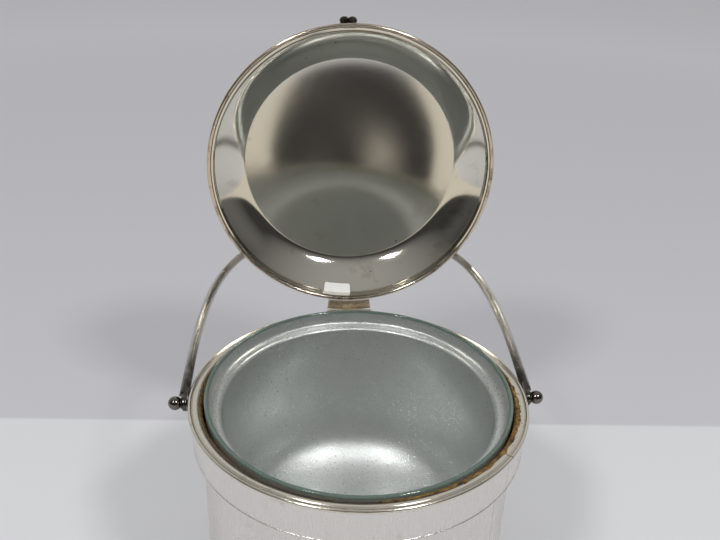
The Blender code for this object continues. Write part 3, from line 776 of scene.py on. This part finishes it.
# ---------------------------------------------------------------------------------------------
# Thumbpiece. A small cast lift with two lobes on a short tongue, soldered to the flange at the
# front of the lid, a little left of the middle. Plated, and gone almost black with tarnish.
tarnished = silver_plate("tarnished_silver_plate", "4a443e", "15120f", 0.3, cover=0.7, patch=2.5 * MM,
                         wave=0.02 * MM, scratch=0.5)
LOBE = 2.4 * MM
LIFT_X = -3.7 * MM
TONGUE_THICKNESS = 2.2 * MM
tip_y = -LID_RADIUS - 0.8 * MM
tip_z = LID_BASE + 5.4 * MM
bm = bmesh.new()
for side in (-1, 1):
    made = bmesh.ops.create_uvsphere(bm, u_segments=28, v_segments=18, radius=LOBE)
    bmesh.ops.scale(bm, verts=made["verts"], vec=(1.15, 0.9, 1.2))
    bmesh.ops.translate(bm, verts=made["verts"], vec=(LIFT_X + side * (LOBE - 0.2 * MM), tip_y, tip_z))
root_y = -FLANGE_RADIUS - LID_WALL - 0.3 * MM
tongue = Vector((2 * LOBE - 0.3 * MM, 0, TONGUE_THICKNESS / 2))
verts = block(bm, Vector((LIFT_X, tip_y, tip_z)) - tongue, Vector((LIFT_X, root_y, tip_z)) + tongue)
edges = list({e for v in verts for e in v.link_edges})
bmesh.ops.bevel(bm, geom=edges, offset=0.7 * MM, segments=4, affect="EDGES", profile=0.5, material=-1)
thumb = add_piece("two_lobed_thumbpiece", on_lid(bm), [tarnished])
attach(thumb, "lid")
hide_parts("thumbpiece")


# ---------------------------------------------------------------------------------------------
# Sticker. A blank white paper label with round corners, stuck inside the lid on the sloping band.
LABEL_WIDTH = 16.4 * MM
LABEL_HEIGHT = 7.4 * MM
LABEL_THICKNESS = 0.16 * MM
LABEL_CORNER = 1.3 * MM
LABEL_OFFSET = 7.4 * MM
LABEL_DROP = 1.4 * MM
LABEL_STRIPS = 20
# Uncoated paper: flat white with a faint unevenness.
paper, tree, shader = new_material("matt_label_paper", Roughness=0.8, Specular_IOR_Level=0.3)
place = add_node(tree, "TexCoord")
fibre = add_node(tree, "TexNoise", {"Scale": 1 / (0.8 * MM), "Detail": 4},
                 {"Vector": place.outputs["Object"]})
tone = add_node(tree, "Mix", {6: srgb("e4e4e1"), 7: srgb("f3f3f1")}, {0: fibre.outputs[0]},
                data_type="RGBA")
tree.links.new(tone.outputs[2], shader.inputs["Base Color"])
bm = bmesh.new()
bmesh.ops.create_grid(bm, x_segments=1, y_segments=1, size=0.5)
bmesh.ops.scale(bm, verts=bm.verts, vec=(LABEL_WIDTH, LABEL_HEIGHT, 1))
bmesh.ops.bevel(bm, geom=bm.verts[:], offset=LABEL_CORNER, segments=6, affect="VERTICES",
                profile=0.5, material=-1)
for i in range(1, LABEL_STRIPS):
    cut = Vector((LABEL_WIDTH * (i / LABEL_STRIPS - 0.5), 0, 0))
    whole = bm.verts[:] + bm.edges[:] + bm.faces[:]
    bmesh.ops.bisect_plane(bm, geom=whole, plane_co=cut, plane_no=(1, 0, 0))
band = [Vector(point) for point in lid_inside()[2:16]]
middle = band[4]
along_band = (band[5] - band[3]).normalized()
into_lid = Vector((-along_band.y, along_band.x))
for v in bm.verts:
    place = middle + along_band * (v.co.y - LABEL_DROP) + into_lid * (0.4 * MM)
    angle = math.pi / 2 + (LABEL_OFFSET - v.co.x) / middle.x
    v.co = (place.x * math.cos(angle), place.x * math.sin(angle), LID_BASE + place.y)
bmesh.ops.recalc_face_normals(bm, faces=bm.faces)
bmesh.ops.solidify(bm, geom=bm.faces[:], thickness=LABEL_THICKNESS)
bmesh.ops.recalc_face_normals(bm, faces=bm.faces)
label = add_piece("paper_label", on_lid(bm), [paper])
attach(label, "lid")
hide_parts("price_label")


# ---------------------------------------------------------------------------------------------
# Pivots. On each side a ball-headed screw goes through a washer, the bail's eye and a boss soldered
# to the band, into a nut inside. The heads have tarnished to a dark polish.
ball_plate = silver_plate("dark_polished_plate", "77716c", "1d1a17", 0.12, cover=0.5, patch=4 * MM,
                          wave=0.01 * MM, scratch=0.4)
pivot = Vector(next(j for j in frame["joints"] if j["name"] == "bail_swing")["pos_m"])


def across(bm, side):
    """Turn a piece drawn about Z so that its Z points outwards along X on one side of the pail."""
    turn = Matrix.Translation(pivot) @ Matrix.Rotation(side * math.pi / 2, 4, "Y")
    bmesh.ops.transform(bm, verts=bm.verts, matrix=turn)
    bmesh.ops.recalc_face_normals(bm, faces=bm.faces)
    return bm


def tube(outer_radius, inner_radius, low, high):
    return [(inner_radius, low), (outer_radius, low), (outer_radius, high), (inner_radius, high)]


def reach_along_x(node):
    """Nearest and furthest reach of a pivot piece from the pail's axis."""
    low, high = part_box(node)
    return sorted((abs(low.x), abs(high.x)))


BORE = 1.85 * MM
SHANK = 1.5 * MM
BOSS = 2.4 * MM
NECK = 2.4 * MM
WASHER = 3.2 * MM
BALL = 3.7 * MM
BALL_AT = 97.3 * MM
for side, hand in ((-1, "left"), (1, "right")):
    boss_in, boss_out = reach_along_x(f"pivot_boss_{hand}")
    bm = soften(turned(tube(BOSS, BORE, boss_in, boss_out), segments=48), 0.2 * MM)
    boss = add_piece(f"boss_{hand}", across(bm, side), [worn_brass])
    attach(boss, "body")
    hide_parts(f"pivot_boss_{hand}")

    washer_in, washer_out = reach_along_x(f"pivot_washer_{hand}")
    bm = soften(turned(tube(WASHER, BORE, washer_in, washer_out), segments=48), 0.15 * MM)
    washer = add_piece(f"washer_{hand}", across(bm, side), [tarnished])
    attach(washer, "pivots")
    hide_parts(f"pivot_washer_{hand}")

    nut_in, nut_out = reach_along_x(f"pivot_nut_{hand}")
    bm = soften(turned(tube(WASHER, BORE, nut_in, nut_out), segments=6), 0.2 * MM)
    nut = add_piece(f"nut_{hand}", across(bm, side), [foot_plate])
    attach(nut, "pivots")
    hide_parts(f"pivot_nut_{hand}")

    shank_in = reach_along_x(f"pivot_screw_{hand}")[0]
    head = washer_out + 0.3 * MM
    meet = math.degrees(math.asin((BALL_AT - head) / BALL))
    section = [(0, shank_in), (SHANK, shank_in), (SHANK, head), (NECK, head)]
    section += arc((0, BALL_AT), BALL, 4 - meet, 90, 28)
    section[-1] = (0, BALL_AT + BALL)
    bm = across(turned(section, closed=False, segments=64), side)
    screw = add_piece(f"ball_screw_{hand}", bm, [ball_plate])
    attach(screw, "pivots")
    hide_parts(f"pivot_screw_{hand}")


# ---------------------------------------------------------------------------------------------
# Bail. A bar of ridged section bent into an arch and flattened at its ends into eyes. Plated, with
# brown blotches, and black with tarnish towards the ends. Drawn upright, then leant back.
BAIL_BACK = math.radians(72)
BAIL_HALF_WIDTH = 93.2 * MM
BAIL_RISE = 137.5 * MM
BAIL_ARM = Vector((-4, 90)) * MM
BAIL_CROWN = Vector((80, 0)) * MM
BAR = 2.6 * MM
EYE_RADIUS = 4.3 * MM
EYE_INNER = 91 * MM
EYE_OUTER = 93.2 * MM
EYE_FLARE = 30 * MM


def bail_line(steps):
    """Centre line in the bail's plane as (x, height), from the right eye over to the left."""
    crown = Vector((0, BAIL_RISE))
    eye = Vector((BAIL_HALF_WIDTH, 5.5 * MM))
    curve = geometry.interpolate_bezier(eye, eye + BAIL_ARM, crown + BAIL_CROWN, crown, steps)
    right = [tuple(point) for point in curve]
    return right + [(-x, s) for x, s in reversed(right[:-1])]


def bar_section(scale):
    """Ridged bar: flat back, two sloping faces that meet in a rounded ridge at the front."""
    corners = [(-1, 0.55), (-0.93, 0.8), (0, 0.95), (0.93, 0.8), (1, 0.55)]
    corners += [(0.85, -0.1), (0.3, -0.85), (0, -0.98), (-0.3, -0.85), (-0.85, -0.1)]
    return [(u * BAR * scale, v * BAR * 0.95) for u, v in corners]


line = bail_line(72)
bm = bmesh.new()
rings = []
for i, (x, s) in enumerate(line):
    before, after = line[max(i - 1, 0)], line[min(i + 1, len(line) - 1)]
    along = Vector((after[0] - before[0], 0, after[1] - before[1])).normalized()
    outwards = Vector((along.z, 0, -along.x))
    flare = 1.12 - 0.16 * min(s / EYE_FLARE, 1)
    middle = Vector((x, 0, s))
    rings.append([bm.verts.new(middle + outwards * u + Vector((0, v, 0))) for u, v in bar_section(flare)])
loops = [[bm.edges.new(pair) for pair in zip(ring, ring[1:] + ring[:1])] for ring in rings]
for first, second in zip(loops, loops[1:]):
    bmesh.ops.bridge_loops(bm, edges=first + second)
bm.faces.new(rings[0])
bm.faces.new(rings[-1])
bmesh.ops.recalc_face_normals(bm, faces=bm.faces)
soften(bm, 0.35 * MM, angle=50)
for side in (-1, 1):
    eye = turned(tube(EYE_RADIUS, BORE, EYE_INNER, EYE_OUTER), segments=48)
    soften(eye, 0.3 * MM)
    turn = Matrix.Rotation(side * math.pi / 2, 4, "Y")
    bmesh.ops.transform(eye, verts=eye.verts, matrix=turn)
    bmesh.ops.recalc_face_normals(eye, faces=eye.faces)
    part = bpy.data.meshes.new("eye")
    eye.to_mesh(part)
    eye.free()
    bm.from_mesh(part)
    bpy.data.meshes.remove(part)
    near, far = sorted((side * EYE_INNER, side * EYE_OUTER))
    block(bm, Vector((near, -2.9 * MM, 2.6 * MM)), Vector((far, 2.9 * MM, 9 * MM)))
lean = Matrix.Translation(pivot) @ Matrix.Rotation(-BAIL_BACK, 4, "X")
bmesh.ops.transform(bm, verts=bm.verts, matrix=lean)
# Bright with brown blotches, then black in ragged patches near the pivots.
bail_plate = silver_plate("worn_silver_plate", "c9c6c0", "5a4d3f", 0.17, cover=0.28, patch=7 * MM,
                          wave=0.02 * MM)
tree = bail_plate.node_tree
place = add_node(tree, "TexCoord")
from_pivot = add_node(tree, "VectorMath", {1: pivot}, {0: place.outputs["Object"]},
                      operation="SUBTRACT")
sideways = add_node(tree, "VectorMath", {1: (0, 1, 1)}, {0: from_pivot.outputs[0]},
                    operation="MULTIPLY")
reach = add_node(tree, "VectorMath", links={0: sideways.outputs[0]}, operation="LENGTH")
blotches = add_node(tree, "TexNoise", {"Scale": 1 / (6 * MM), "Detail": 4},
                    {"Vector": place.outputs["Object"]})
ragged = add_node(tree, "Math", {1: 50 * MM}, {0: blotches.outputs[0], 2: reach.outputs["Value"]},
                  operation="MULTIPLY_ADD")
blackened = add_node(tree, "MapRange", {"From Min": 68 * MM, "From Max": 38 * MM, "To Max": 0.85},
                     {"Value": ragged.outputs[0]})
stain(bail_plate, blackened.outputs[0], "2b251f")
bail = add_piece("bail_bar", bm, [bail_plate], sharp=28)
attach(bail, "bail")
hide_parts("bail_handle")


low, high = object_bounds()
